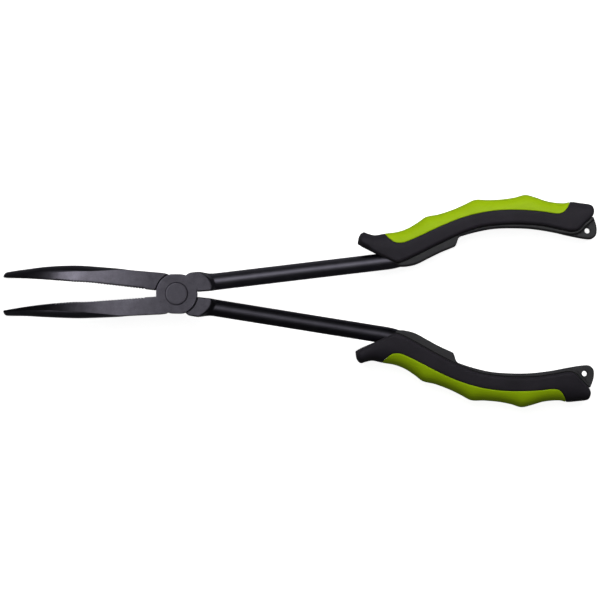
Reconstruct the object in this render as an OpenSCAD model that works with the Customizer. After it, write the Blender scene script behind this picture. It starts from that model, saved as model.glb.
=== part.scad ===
// Long-reach bent-nose fishing pliers, about 280 mm long.
//
// Frame: the pivot axis is Z through the origin, the joint's flat underside is z = 0,
// the nose points along -X and the handles along +X. The two levers cross at the pivot.
// The front lever carries the jaw on the -Y side and the handle on the +Y side.
// The rear lever is its mirror image in Y, with the other half of the lap joint.

/* [Opening] */
// Angle that each lever is turned away from closed jaws, in degrees
rest_angle = 5.4; // [1:0.1:15]

/* [Joint] */
// Thickness of the joint across both lapped discs
joint_t = 10; // [9.4:0.1:12]
// Radius of each lever's lap disc
boss_r = 9.7; // [9:0.1:10]
// Room between a lap disc and the other lever's shoulder
shoulder_gap = 0.4; // [0.3:0.05:0.6]
// Gap between the two lapped faces
lap_gap = 0.1; // [0.05:0.01:0.2]

/* [Rivet] */
// Radius of the rivet's shank
shank_r = 4; // [3:0.1:4.2]
// Radius of the rivet's two flush heads
head_r = 5.2; // [4.8:0.1:6]
// Thickness of each rivet head
head_t = 2; // [1.2:0.1:2.4]
// Running clearance of the rear lever on the rivet, on the radius
running_fit = 0.05; // [0.02:0.01:0.1]

/* [Jaws] */
// Distance from the pivot to the tip of the nose, along X
nose_reach = 83.5; // [80:0.1:84]
// Distance from the pivot to where the nose starts to bend down
straight_reach = 46; // [44:0.5:48]
// Bend radius of the nose's centreline
nose_bend_r = 46; // [44:1:50]
// Angle that the nose bends down through
nose_bend_angle = 40; // [36:1:42]
// Sideways lean of both noses toward -Y, per mm that they drop
nose_lean = 0.078; // [0:0.002:0.1]
// Height of the nose where the bend starts
nose_height = 8.4; // [7:0.1:9]
// Height of the nose at its tip
tip_height = 3.6; // [3:0.1:4.5]
// Pitch of the gripping teeth
tooth_pitch = 1.4; // [1.2:0.1:2]
// Depth of the gripping teeth
tooth_depth = 0.4; // [0.2:0.05:0.5]

/* [Rods] */
// Diameter of each round rod
rod_d = 8; // [7.4:0.1:8.2]
// Distance from the pivot axis to the rod's centreline
rod_offset = 3.6; // [3.5:0.05:3.8]
// Angle of the rod away from the closed jaws' line
rod_angle = 2.57; // [2.3:0.01:3]
// Diameter of the tang inside the handle
tang_d = 5; // [4:0.1:5.2]

/* [Handles] */
// Half thickness of the grip at its fullest
grip_half_t = 6.5; // [6:0.1:7.5]
// Half thickness of the hard core's visible rim
rim_half_t = 4.8; // [4.6:0.1:5.2]
// Half thickness of the lug at the core's rear end
lug_half_t = 3.5; // [3:0.1:4]
// Radius of the lanyard hole
lanyard_r = 1.3; // [1.2:0.1:1.8]

/* [Hidden] */
$fn = 64;

mid_z = joint_t / 2;
through = 1;             // extra length of a cut beyond the face it opens

// Rest of the rivet's fit: the front lever grips it, so its hole is only a hair larger.
grip_fit = 0.01;
press_gap = 0.03;        // clearance between moulded layers

// Jaw outline, in a lever's own frame with the jaws closed along y = 0.
// The gripping face stands back from y = 0 behind the bend, so that the tips meet first.
grip_line = [[-84, 0], [-49, 0.12], [-42, 0.5], [-34, 0.55], [-12, 0.6]];
grip_back = -12;         // rear end of the gripping face
grip_root = -3;          // where the face ends, inside the joint
tooth_start = -15;
tooth_end = -57;
jaw_root_w = 9;          // jaw width beside the joint
jaw_mid_w = 8.3;         // jaw width where the taper starts
taper_start = -44;
taper_slope = 0.086;     // loss of width per mm at the start of the taper
taper_curve = 0.0018;    // how fast that loss grows
taper_tip = 3.5;         // the taper ends this far behind the tip
jaw_side = -24;          // front end of the straight edge beside the joint
tip_round = 1.1;         // radius of the nose's outer corner
corner_turn = [230 : -20 : 170];  // directions of the points around that corner
tip_centre = -1.3;       // middle of that corner, in y
tip_inner = 1.4;         // the grip's flat face starts this far behind the tip
tip_bevel = 0.4;         // length of the bevel at the nose's end, seen from the side
tip_face = 0.6;          // part of the nose's height that its end face keeps
heel = -18;              // the joint's underside starts to rise here
// Straight run of the nose beyond its bend.
tip_run = (nose_reach - straight_reach - nose_bend_r * sin(nose_bend_angle)
           - tip_height / 2 * sin(nose_bend_angle)) / cos(nose_bend_angle);
outline_step = 3;        // spacing of points along the curved outlines
arc_step = 4;            // angle between points around the nose bend

// Rod and tang, in the rod's frame: u along the rod, v outward.
rod_start = 12;
bend_at = 105.6;         // where the rod's two straight lines meet
bend_angle = 20;
bend_r = 30;
bend_tangent = bend_r * tan(bend_angle / 2);
bend_swell = 0.3;        // how much thicker the bar is where it has been bent
bar_overlap = 1;         // length of a straight bar inside the bend that it runs into
tang_straight = 24.5;
arch_r = 44;
arch_angle = 28;
tang_tail = 14;

// Handle curves: knots of u and v, joined by smooth cubics.
outer_edge = [
    [87.6, 13.9], [88.6, 16.8], [90.8, 18.5], [93, 17.6], [96, 16.5], [101, 16.7], [107, 16.8],
    [112, 17.9], [117, 20.1], [121, 22.2], [127, 22.7], [134, 24.1], [140, 25.9], [145, 27.5],
    [151, 26.7], [158, 26.2], [164, 26.4], [169, 27], [173, 25.5], [179, 22.7], [186, 21],
    [190, 21.1], [195, 19.9], [199, 18.7], [200, 17.7], [200.3, 16.5]];
shell_low = [
    [87.6, 13.2], [90, 11.3], [95.4, 7.9], [100, 4.9], [104.2, 2.3], [106.2, 2.1], [114, 4.5],
    [121.4, 7.2], [129, 9.8], [136.3, 12.1], [146, 14.1], [156, 14.2], [165, 13.3], [174.5, 11.5],
    [183.8, 8.5], [188, 7.1], [191.5, 7.3], [195, 10], [199, 13], [200.3, 15.1]];
color_break = [
    [100.2, 18], [101.2, 15.9], [102.6, 14], [105, 11.9], [108.5, 11.2], [112, 11.9],
    [118, 13.7], [128, 17], [138, 19.6], [148, 20.9], [157, 20.9], [167, 19.7], [176, 17.9],
    [182, 16.3], [185.3, 16.4], [187.6, 18.3], [189.2, 20.7], [189.8, 22]];
inner_edge = [
    [104.8, 1.1], [106.2, 0.3], [109.2, 0], [114, 0.5], [120, 2.6], [126, 4.7], [132, 6.4],
    [133.4, 7.1], [135.2, 10.4], [138, 11.4], [145, 12.4], [152, 12.8], [160, 12.2], [170, 10.6],
    [180, 7.8], [188, 4.9], [194, 3], [197, 2.5], [198.8, 3.2], [199.9, 4.6], [200.3, 6.5]];
web_top = [
    [104.8, 9.2], [113, 11], [118, 11.4], [125, 13.9], [131, 16], [136, 17.7], [144, 19.5],
    [150, 20.1], [156, 19.7], [170, 17.4], [180, 14.5], [188, 13], [195, 14], [198, 14.5]];
lug_top = [[198, 12.2], [199.2, 12.7], [199.8, 11.1], [200.3, 8.5]];
grip_half = [[87.6, 0.66], [90, 0.82], [96, 0.94], [106, 1], [175, 1], [192, 0.95], [200.3, 0.8]];
web_half = [[104.8, 4.6], [113, 4.6], [117, 3.6], [200.3, 3]];
lug_part = lug_half_t / rim_half_t;
rim_half = [[104.8, 0.9], [112, 1], [184, 1], [188, lug_part], [194, lug_part], [200.3, lug_part]];

lanyard_at = [195.8, 6.6];
seam_depth = 0.1;        // depth of the shell's seam where it has no pocket
socket_start = 104.8;    // front end of the core
shell_start = 87.6;
shell_end = 200.3;
core_end = 200.3;
web_end = 198;
insert_start = 101.1;
insert_end = 188.9;
green_start = 100.4;     // the shell reaches the outer edge ahead of and behind the insert
green_end = 189.4;
edge_depth = 5;          // width of the rounding along the grip's outer edge
edge_min = 0.2;          // part of the half thickness left at the very edge
lip_depth = 2;           // width of the rounding along the shell's inner lip
lip_min = 0.8;
rim_lip = 0.9;           // width of the bevel along the core's inner rim
across = [0, 0.1, 0.3, 0.6, 0.82, 1];

// Height of a smooth cubic through the knots k at the place u.
function knot_before(k, u, i = 0) =
    i >= len(k) - 2 || u < k[i + 1][0] ? i : knot_before(k, u, i + 1);
function knot_slope(k, i) =
    let (a = max(i - 1, 0), b = min(i + 1, len(k) - 1))
    (k[b][1] - k[a][1]) / (k[b][0] - k[a][0]);
function along(k, u) =
    let (i = knot_before(k, u),
         w = k[i + 1][0] - k[i][0],
         t = min(max((u - k[i][0]) / w, 0), 1),
         s = t * t * (3 - 2 * t))
    k[i][1] * (1 - s) + k[i + 1][1] * s
    + w * knot_slope(k, i) * t * (1 - t) * (1 - t)
    - w * knot_slope(k, i + 1) * t * t * (1 - t);

// Part of the full thickness at a distance d inside an edge rounded over a depth.
function rounded(d, depth) = d >= depth ? 1 : sqrt(1 - pow(1 - max(d, 0) / depth, 2));

function grip_z(u, v) =
    grip_half_t * along(grip_half, u)
    * max(edge_min, rounded(along(outer_edge, u) - v, edge_depth));

// Width of the jaw at the distance x from the pivot.
function jaw_w(x) =
    x > taper_start
    ? jaw_mid_w + (jaw_root_w - jaw_mid_w) * (x - taper_start) / (grip_back - taper_start)
    : let (d = taper_start - x) jaw_mid_w - taper_slope * d - taper_curve * d * d;
function grip_y(x) = -along(grip_line, x);

// Stations along a handle: close together where the outline turns quickly.
function stations(from, to) = [
    for (u = concat([87.6, 87.9, 88.5, 89.4, 90.4, 91.6, 93, 94.6, 96.6, 98.8, 100.6],
                    [101.1, 101.8, 102.8, 104.2, 104.7, 104.8, 105.6, 106.8, 108.6, 110.6],
                    [for (u = [113 : 2.8 : 130]) u],
                    [131.6, 133, 133.8, 134.6, 135.4, 137],
                    [for (u = [140 : 2.5 : 165]) u],
                    [166.6, 168, 169, 170.2, 171.8, 173.6, 176, 178.4, 180.8, 183],
                    [184.6, 186.4, 187.8, 188.9, 190.2, 191.8, 193.6, 195.6, 197.2, 198],
                    [198.9, 199.5, 199.9, 200.15, 200.3]))
    if (u >= from && u <= to) u];

// A closed skin over a list of rings that all have the same number of points.
module loft(rings) {
    n = len(rings[0]);
    m = len(rings);
    polyhedron(
        points = [for (r = rings) each r],
        faces = concat(
            [[for (i = [0 : n - 1]) (n - i) % n]],
            [[for (i = [0 : n - 1]) (m - 1) * n + i]],
            [for (j = [0 : m - 2]) for (i = [0 : n - 1])
                [j * n + i, (j + 1) * n + (i + 1) % n, (j + 1) * n + i]],
            [for (j = [0 : m - 2]) for (i = [0 : n - 1])
                [j * n + i, j * n + (i + 1) % n, (j + 1) * n + (i + 1) % n]]));
}

// Places a part drawn with closed jaws: turned open, and for the rear lever mirrored in Y.
module front_side() {
    rotate([0, 0, rest_angle]) children();
}
module rear_side() {
    mirror([0, 1, 0]) rotate([0, 0, rest_angle]) children();
}

// How far the nose's middle line lies under the straight jaw's at the distance x.
function nose_drop(x) =
    let (ahead = max(-x - straight_reach, 0),
         arc = nose_bend_r * sin(nose_bend_angle),
         a = asin(min(ahead, arc) / nose_bend_r))
    nose_bend_r * (1 - cos(a)) + max(ahead - arc, 0) * tan(nose_bend_angle);

// Outline of the jaw seen along the pivot, with its toothed gripping face. Both noses lean the
// same way, so lean is 1 for the front lever and -1 for the mirrored rear one.
module jaw_outline(lean) {
    teeth = floor((tooth_start - tooth_end) / tooth_pitch);
    edge = concat(
        [[-3, -3], [-4.5, -8.3], [-6.5, -9.05], [grip_back, -jaw_root_w]],
        [for (x = [jaw_side : -outline_step : -nose_reach + taper_tip]) [x, -jaw_w(x)]],
        [for (a = corner_turn)
            [-nose_reach + tip_round * (1 + cos(a)), tip_centre + tip_round * sin(a)]],
        [for (x = [-nose_reach + tip_inner : outline_step : tooth_end - tooth_pitch])
            [x, grip_y(x)]],
        [for (i = [0 : teeth - 1]) for (half = [0, 1])
            let (x = tooth_end + (i + half / 2) * tooth_pitch)
            [x, grip_y(x) - (half == 0 ? tooth_depth : 0)]],
        [[grip_back, grip_y(grip_back)], [grip_root, grip_y(grip_back)]]);
    polygon([for (p = edge) [p[0], p[1] - lean * nose_lean * nose_drop(p[0])]]);
}

// A point of the nose's side view: a is the bend angle reached, side is 1 for the top edge
// and -1 for the underside, and run is the straight distance beyond the bend.
function nose_point(a, side, run = 0) =
    let (total = nose_bend_r * nose_bend_angle * PI / 180 + tip_run,
         s = (nose_bend_r * a * PI / 180 + run) / total,
         h = nose_height + (tip_height - nose_height) * s,
         x = -straight_reach - nose_bend_r * sin(a) - run * cos(a),
         z = joint_t - nose_height / 2 - nose_bend_r * (1 - cos(a)) - run * sin(a))
    [x - side * h / 2 * sin(a), z + side * h / 2 * cos(a)];

// Side view of the jaw, with the nose bent down.
module jaw_profile() {
    polygon(concat(
        [[0, 0], [0, joint_t], [-straight_reach, joint_t]],
        [for (a = [arc_step : arc_step : nose_bend_angle]) nose_point(a, 1)],
        [nose_point(nose_bend_angle, 1, tip_run - tip_bevel)],
        [for (side = [tip_face, -tip_face]) nose_point(nose_bend_angle, side, tip_run)],
        [nose_point(nose_bend_angle, -1, tip_run - tip_bevel)],
        [for (a = [nose_bend_angle : -arc_step : arc_step]) nose_point(a, -1)],
        [[-straight_reach, joint_t - nose_height], [heel, 0]]));
}

module jaw(lean) {
    intersection() {
        translate([0, 0, -3 * joint_t]) linear_extrude(5 * joint_t) jaw_outline(lean);
        rotate([90, 0, 0]) linear_extrude(2 * joint_t) jaw_profile();
    }
}

// The flat forged neck between the joint and the round rod.
module neck() {
    linear_extrude(joint_t)
        polygon([[3, 3], [5.1, 8.4], [6.4, 9.25], [8, 9.5], [11, 9.6], [13.4, 9.25],
                 [15.4, 8.6], [16.2, 7.4], [16.4, 5], [16.2, 2.4], [15.4, 0.9], [13, 0.5],
                 [9, 0.4], [5, 0.6]]);
}

// Moves to the rod's frame, and on to the ends of its two bends.
module in_rod_frame() {
    rotate([0, 0, rod_angle]) translate([0, 0, mid_z]) children();
}
module beyond_bend() {
    translate([bend_at - bend_tangent, rod_offset + bend_r, 0])
        rotate([0, 0, bend_angle]) translate([0, -bend_r, 0]) children();
}
module beyond_arch() {
    beyond_bend() translate([tang_straight, -arch_r, 0])
        rotate([0, 0, -arch_angle]) translate([0, arch_r, 0]) children();
}
module bar(length, d) {
    rotate([0, 90, 0]) cylinder(d = d, h = length);
}

// The round rod, its outward bend and the slimmer tang, with extra on the diameter.
module bend(radius, turn, d) {
    rotate_extrude(angle = turn) translate([radius, 0]) circle(d = d + bend_swell);
}
module rod(extra = 0) {
    rod_end = bend_at - bend_tangent;
    in_rod_frame() {
        translate([rod_start, rod_offset, 0]) bar(rod_end - rod_start + bar_overlap, rod_d + extra);
        translate([rod_end, rod_offset + bend_r, 0]) rotate([0, 0, -90])
            bend(bend_r, bend_angle, rod_d + extra);
        beyond_bend() translate([-bar_overlap, 0, 0])
            bar(tang_straight + 2 * bar_overlap, tang_d + extra);
        beyond_bend() translate([tang_straight, -arch_r, 0]) rotate([0, 0, 90 - arch_angle])
            bend(arch_r, arch_angle, tang_d + extra);
        beyond_arch() translate([-bar_overlap, 0, 0])
            bar(tang_tail + bar_overlap + extra, tang_d + extra);
    }
}

// One lever: upper is true for the one whose lap disc lies on top.
module lever(upper) {
    disc_low = upper ? mid_z + lap_gap / 2 : 0;
    room_low = upper ? -through : mid_z - lap_gap / 2;
    lap_h = mid_z - lap_gap / 2;
    difference() {
        union() {
            difference() {
                union() {
                    jaw(upper ? 1 : -1);
                    neck();
                    rod();
                }
                translate([0, 0, room_low])
                    cylinder(r = boss_r + shoulder_gap, h = mid_z + lap_gap / 2 + through);
            }
            translate([0, 0, disc_low]) cylinder(r = boss_r, h = lap_h);
        }
        rivet_room(upper);
    }
}

// Counterbored hole for the rivet.
module rivet_room(upper) {
    fit = upper ? grip_fit : running_fit;
    translate([0, 0, -through]) cylinder(r = shank_r + fit, h = joint_t + 2 * through);
    translate([0, 0, upper ? joint_t - head_t - grip_fit : -through])
        cylinder(r = head_r + fit, h = head_t + fit + through);
}

module front_lever() {
    color([0.25, 0.24, 0.27]) front_side() lever(true);
}

module rear_lever() {
    color([0.21, 0.2, 0.23]) rear_side() lever(false);
}

module pivot_rivet() {
    color([0.3, 0.29, 0.32]) {
        cylinder(r = shank_r, h = joint_t);
        cylinder(r = head_r, h = head_t);
        translate([0, 0, joint_t - head_t]) cylinder(r = head_r, h = head_t);
    }
}

// Hard nylon core: keel and rim on the inside, a web around the tang, and the lanyard lug.
function core_top(u) = u > web_end ? min(along(lug_top, u), along(shell_low, u) - press_gap)
                                   : along(shell_low, u) - press_gap;
function core_ring(u) =
    let (vi = along(inner_edge, u),
         vs = core_top(u),
         vw = u > web_end ? vs + press_gap : along(web_top, u),
         zr = rim_half_t * along(rim_half, u),
         zw = min(along(web_half, u), zr - 0.1),
         vb = min(vi + rim_lip, (vi + vs) / 2))
    [[u, vi, 0.75 * zr], [u, vb, zr], [u, vs, zr], [u, vs, zw], [u, vw, zw],
     [u, vw, -zw], [u, vs, -zw], [u, vs, -zr], [u, vb, -zr], [u, vi, -0.75 * zr]];

module core() {
    difference() {
        in_rod_frame() loft([for (u = stations(socket_start, core_end)) core_ring(u)]);
        rod(2 * press_gap);
        in_rod_frame() translate([lanyard_at[0], lanyard_at[1], -joint_t])
            cylinder(r = lanyard_r, h = 2 * joint_t);
    }
}

// Soft black overmoulding with the thumb guard, wrapped over the core's web. Each ring starts
// at its outer edge, so that the flat end rings can be closed by a fan.
function shell_z(u, v, vs) =
    grip_z(u, v) * (lip_min + (1 - lip_min) * rounded(v - vs, lip_depth));
function shell_outer(u) =
    u < green_start || u > green_end ? along(outer_edge, u)
                                     : min(along(color_break, u), along(outer_edge, u));
function shell_ring(u) =
    let (vs = along(shell_low, u),
         ve = shell_outer(u),
         pocket = u >= socket_start && u <= web_end,
         seam = u == shell_start || u == shell_end ? 0 : seam_depth,
         vp = pocket ? along(web_top, u) + press_gap : vs + seam,
         w = pocket ? along(web_half, u) + press_gap : shell_z(u, vs, vs) / 2,
         row = [for (f = across) vs + (ve - vs) * f])
    concat(
        [for (i = [len(row) - 1 : -1 : 0]) [u, row[i], -shell_z(u, row[i], vs)]],
        [[u, vs, -w], [u, vp, -w], [u, vp, w], [u, vs, w]],
        [for (v = row) [u, v, shell_z(u, v, vs)]]);

module shell() {
    difference() {
        in_rod_frame() loft([for (u = stations(shell_start, shell_end)) shell_ring(u)]);
        rod(2 * press_gap);
    }
}

// Lime insert along the outside of the grip.
function insert_ring(u) =
    let (vg = along(color_break, u) + press_gap,
         vo = along(outer_edge, u),
         row = [for (f = across) vg + (vo - vg) * f])
    concat(
        [for (i = [len(row) - 1 : -1 : 0]) [u, row[i], -grip_z(u, row[i])]],
        [for (v = row) [u, v, grip_z(u, v)]]);

module insert() {
    in_rod_frame() loft([for (u = stations(insert_start, insert_end)) insert_ring(u)]);
}

module upper_core() { color([0.2, 0.19, 0.21]) front_side() core(); }
module upper_shell() { color([0.14, 0.13, 0.14]) front_side() shell(); }
module upper_insert() { color([0.59, 0.72, 0.08]) front_side() insert(); }
module lower_core() { color([0.2, 0.19, 0.21]) rear_side() core(); }
module lower_shell() { color([0.14, 0.13, 0.14]) rear_side() shell(); }
module lower_insert() { color([0.59, 0.72, 0.08]) rear_side() insert(); }

front_lever();
rear_lever();
pivot_rivet();
upper_core();
upper_shell();
upper_insert();
lower_core();
lower_shell();
lower_insert();
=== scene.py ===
"""Long-reach bent-nose fishing pliers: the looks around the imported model.

Every form is drawn in millimetres, in the frame of one lever with its jaws closed: the pivot is
the Z axis, the grip face lies along y = 0, the jaw on the -Y side and the handle on the +Y side.
A lever is then turned open, and the rear one is also mirrored in Y.
"""

import logging
import math
from collections.abc import Callable
from dataclasses import dataclass, field, replace
from enum import Enum

import bmesh
import bpy
import numpy as np
from mathutils import Matrix, Vector


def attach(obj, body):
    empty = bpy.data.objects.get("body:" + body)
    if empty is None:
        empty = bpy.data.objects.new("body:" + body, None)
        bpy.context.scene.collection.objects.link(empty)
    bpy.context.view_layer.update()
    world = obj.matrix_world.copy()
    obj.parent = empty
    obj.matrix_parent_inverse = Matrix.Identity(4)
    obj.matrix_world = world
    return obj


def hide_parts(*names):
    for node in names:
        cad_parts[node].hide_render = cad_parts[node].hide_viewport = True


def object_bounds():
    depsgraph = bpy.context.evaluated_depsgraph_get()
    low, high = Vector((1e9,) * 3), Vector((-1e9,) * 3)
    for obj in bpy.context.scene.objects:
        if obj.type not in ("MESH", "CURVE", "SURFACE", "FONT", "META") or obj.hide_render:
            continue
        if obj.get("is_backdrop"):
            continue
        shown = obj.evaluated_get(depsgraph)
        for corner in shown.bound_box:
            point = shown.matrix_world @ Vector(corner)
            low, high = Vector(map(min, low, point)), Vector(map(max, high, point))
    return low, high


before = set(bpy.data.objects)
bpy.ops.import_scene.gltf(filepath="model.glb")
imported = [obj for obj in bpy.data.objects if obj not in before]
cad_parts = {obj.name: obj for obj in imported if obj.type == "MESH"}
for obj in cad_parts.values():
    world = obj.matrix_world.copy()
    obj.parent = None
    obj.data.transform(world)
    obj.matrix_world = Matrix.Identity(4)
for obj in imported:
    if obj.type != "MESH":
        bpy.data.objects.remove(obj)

log = logging.getLogger("pliers")

MM = 0.001
# Angles in degrees and sizes in millimetres that the whole tool shares.
REST_ANGLE = 5.4
ROD_ANGLE = 2.57
JOINT_T = 10.0
MID_Z = JOINT_T / 2
ROD_R = 4.0
# Points along a curve where the distance to it is measured.
CURVE_STEPS = 700
# Corners closer than this are one, in metres.
WELD = 1e-7
# Rings of a wave texture stand this far apart at scale 1.
WAVE_STEP = 0.32
# How much longer than wide a drawn grain is.
DRAWN_STRETCH = 12.0


class Side(Enum):
    """The two mirrored halves, named for where their handle lies."""

    UPPER = "upper"
    LOWER = "lower"

    @property
    def body(self) -> str:
        """Name of the moving body that this half belongs to."""
        return "front_half" if self is Side.UPPER else "rear_half"

    @property
    def lever(self) -> str:
        """Name of this half's steel lever."""
        return "front_lever" if self is Side.UPPER else "rear_lever"


class Solid(Enum):
    """Ways to combine two closed solids."""

    JOIN = "UNION"
    CUT = "DIFFERENCE"


# ---------------- curves and small maths


@dataclass(frozen=True)
class Curve:
    """A smooth curve through knots of place and height, in millimetres."""

    knots: tuple[tuple[float, float], ...]

    def at(self, u: np.ndarray | float) -> np.ndarray:
        """Heights of the curve.

        Args:
            u: Places along the curve; outside the knots the end height holds.

        Returns:
            One height for each place.
        """
        x, y = np.array(self.knots, float).T
        slope = np.empty(len(x))
        slope[1:-1] = (y[2:] - y[:-2]) / (x[2:] - x[:-2])
        slope[0] = (y[1] - y[0]) / (x[1] - x[0])
        slope[-1] = (y[-1] - y[-2]) / (x[-1] - x[-2])
        u = np.asarray(u, float)
        i = np.clip(np.searchsorted(x, u, side="right") - 1, 0, len(x) - 2)
        w = x[i + 1] - x[i]
        t = np.clip((u - x[i]) / w, 0, 1)
        s = t * t * (3 - 2 * t)
        return (
            y[i] * (1 - s)
            + y[i + 1] * s
            + w * slope[i] * t * (1 - t) ** 2
            - w * slope[i + 1] * t * t * (1 - t)
        )

    def distance(self, u: np.ndarray, v: np.ndarray) -> np.ndarray:
        """Shortest distances from points to the curve.

        Args:
            u: Places of the points.
            v: Heights of the points.

        Returns:
            One distance for each point.
        """
        places = np.linspace(self.knots[0][0], self.knots[-1][0], CURVE_STEPS)
        line = np.stack([places, self.at(places)], 1)
        points = np.stack([np.asarray(u, float).ravel(), np.asarray(v, float).ravel()], 1)
        start, step = line[:-1], line[1:] - line[:-1]
        best = np.full(len(points), np.inf)
        for a, d in zip(start, step):
            t = np.clip((points - a) @ d / (d @ d), 0, 1)
            best = np.minimum(best, np.hypot(*(points - a - t[:, None] * d).T))
        return best.reshape(np.shape(v))


def smooth(low: float, high: float, x: np.ndarray | float) -> np.ndarray:
    """Rises smoothly from 0 at low to 1 at high."""
    t = np.clip((np.asarray(x, float) - low) / (high - low), 0, 1)
    return t * t * (3 - 2 * t)


def rounded(distance: np.ndarray | float, depth: float) -> np.ndarray:
    """Quarter circle that rises from 0 at an edge to 1 at a depth inside it."""
    t = np.clip(np.asarray(distance, float) / depth, 0, 1)
    return np.sqrt(np.maximum(1 - (1 - t) ** 2, 0))


def turn(points: np.ndarray, degrees: float) -> np.ndarray:
    """Turns points about the Z axis."""
    c, s = math.cos(math.radians(degrees)), math.sin(math.radians(degrees))
    return points @ np.array([[c, s, 0], [-s, c, 0], [0, 0, 1]])


def at_rest(points: np.ndarray, side: Side) -> np.ndarray:
    """Moves points from a closed lever's frame to the open tool.

    Args:
        points: Points in millimetres, X, Y and Z in the last axis.
        side: Half that they belong to.

    Returns:
        The moved points.
    """
    opened = turn(points, REST_ANGLE)
    return opened if side is Side.UPPER else opened * np.array([1, -1, 1])


# ---------------- meshes


def closed_skin(rings: np.ndarray) -> tuple[np.ndarray, list[tuple[int, ...]]]:
    """Joins closed rings of points into a closed skin with flat ends.

    Args:
        rings: Points, as rings by points by coordinates.

    Returns:
        The points in one list, and the faces.
    """
    m, n = rings.shape[:2]
    faces = [tuple(range(n)), tuple(range(m * n - 1, (m - 1) * n - 1, -1))]
    for j in range(m - 1):
        for i in range(n):
            k = (i + 1) % n
            faces.append((j * n + i, (j + 1) * n + i, (j + 1) * n + k, j * n + k))
    return rings.reshape(-1, 3), faces


def solid(name: str, rings: np.ndarray) -> bpy.types.Object:
    """Makes a closed mesh object out of rings.

    Args:
        name: Name of the new object.
        rings: Points in millimetres, as rings by points by coordinates.

    Returns:
        The object, in metres, with its faces turned outward.
    """
    points, faces = closed_skin(rings)
    mesh = bpy.data.meshes.new(name)
    mesh.from_pydata((points * MM).tolist(), [], faces)
    work = bmesh.new()
    work.from_mesh(mesh)
    bmesh.ops.remove_doubles(work, verts=work.verts, dist=WELD)
    bmesh.ops.dissolve_degenerate(work, edges=work.edges, dist=WELD)
    bmesh.ops.recalc_face_normals(work, faces=work.faces)
    if work.calc_volume(signed=True) < 0:
        bmesh.ops.reverse_faces(work, faces=work.faces)
    work.to_mesh(mesh)
    work.free()
    piece = bpy.data.objects.new(name, mesh)
    bpy.context.scene.collection.objects.link(piece)
    return piece


def turned(name: str, outline: list[tuple[float, float]], around: int = 128) -> bpy.types.Object:
    """Makes a solid of revolution about the pivot axis.

    Args:
        name: Name of the new object.
        outline: Radius and height of each ring, from one end of the solid to the other.
        around: Number of points round the axis.

    Returns:
        The object.
    """
    a = np.linspace(0, 2 * math.pi, around, endpoint=False)
    rings = [np.stack([r * np.cos(a), r * np.sin(a), np.full(around, z)], 1) for r, z in outline]
    return solid(name, np.array(rings))


def combine(piece: bpy.types.Object, tool: bpy.types.Object, how: Solid) -> None:
    """Joins a tool to a piece or cuts it away, and removes the tool.

    Args:
        piece: Object that changes.
        tool: Closed solid that is used up.
        how: Whether the tool is joined or cut away.
    """
    change = piece.modifiers.new("combine", "BOOLEAN")
    change.operation = how.value
    change.solver = "EXACT"
    change.object = tool
    bpy.context.view_layer.update()
    state = piece.evaluated_get(bpy.context.evaluated_depsgraph_get())
    mesh = bpy.data.meshes.new_from_object(state)
    old = piece.data
    piece.modifiers.clear()
    piece.data = mesh
    bpy.data.meshes.remove(old)
    bpy.data.objects.remove(tool)


def shade(piece: bpy.types.Object, crease: float = 32.0) -> None:
    """Shades a piece smoothly, with hard lines where its faces turn sharply.

    Args:
        piece: Object to shade.
        crease: Smallest angle between two faces that keeps a hard line, in degrees.
    """
    piece.data.shade_smooth()
    piece.data.set_sharp_from_angle(angle=math.radians(crease))
    weigh = piece.modifiers.new("even_normals", "WEIGHTED_NORMAL")
    weigh.keep_sharp = True
    weigh.weight = 50


def hand_over(piece: bpy.types.Object, body: str, node: str) -> None:
    """Lets a finished piece stand for its CAD node.

    Args:
        piece: Finished object.
        body: Body that it moves with.
        node: CAD node that it replaces.
    """
    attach(piece, body)
    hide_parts(node)
    log.info("%s: %d faces, on %s", piece.name, len(piece.data.polygons), body)


# ---------------- finishes


def linear(colour: str) -> tuple[float, float, float, float]:
    """Turns an sRGB hex colour to linear values with full alpha."""
    parts = [int(colour[i : i + 2], 16) / 255 for i in (1, 3, 5)]
    red, green, blue = (c / 12.92 if c <= 0.04045 else ((c + 0.055) / 1.055) ** 2.4 for c in parts)
    return red, green, blue, 1.0


def add(
    tree: bpy.types.NodeTree, kind: str, links: dict | None = None, **settings: object
) -> bpy.types.Node:
    """Adds a node with its settings and links.

    Args:
        tree: Node tree that it goes into.
        kind: Type name of the node, without its common first part.
        links: Output sockets, or plain values, by the input they go to.
        **settings: Properties of the node.

    Returns:
        The new node.
    """
    node = tree.nodes.new("ShaderNode" + kind)
    for name, value in settings.items():
        setattr(node, name, value)
    for name, value in (links or {}).items():
        if isinstance(value, bpy.types.NodeSocket):
            tree.links.new(value, node.inputs[name])
        else:
            node.inputs[name].default_value = value
    return node


class Grain(Enum):
    """How the fine texture of a surface runs."""

    SPECKLED = "even speckle"
    DRAWN = "lines along the tool"
    TURNED = "rings about the pivot"


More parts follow.
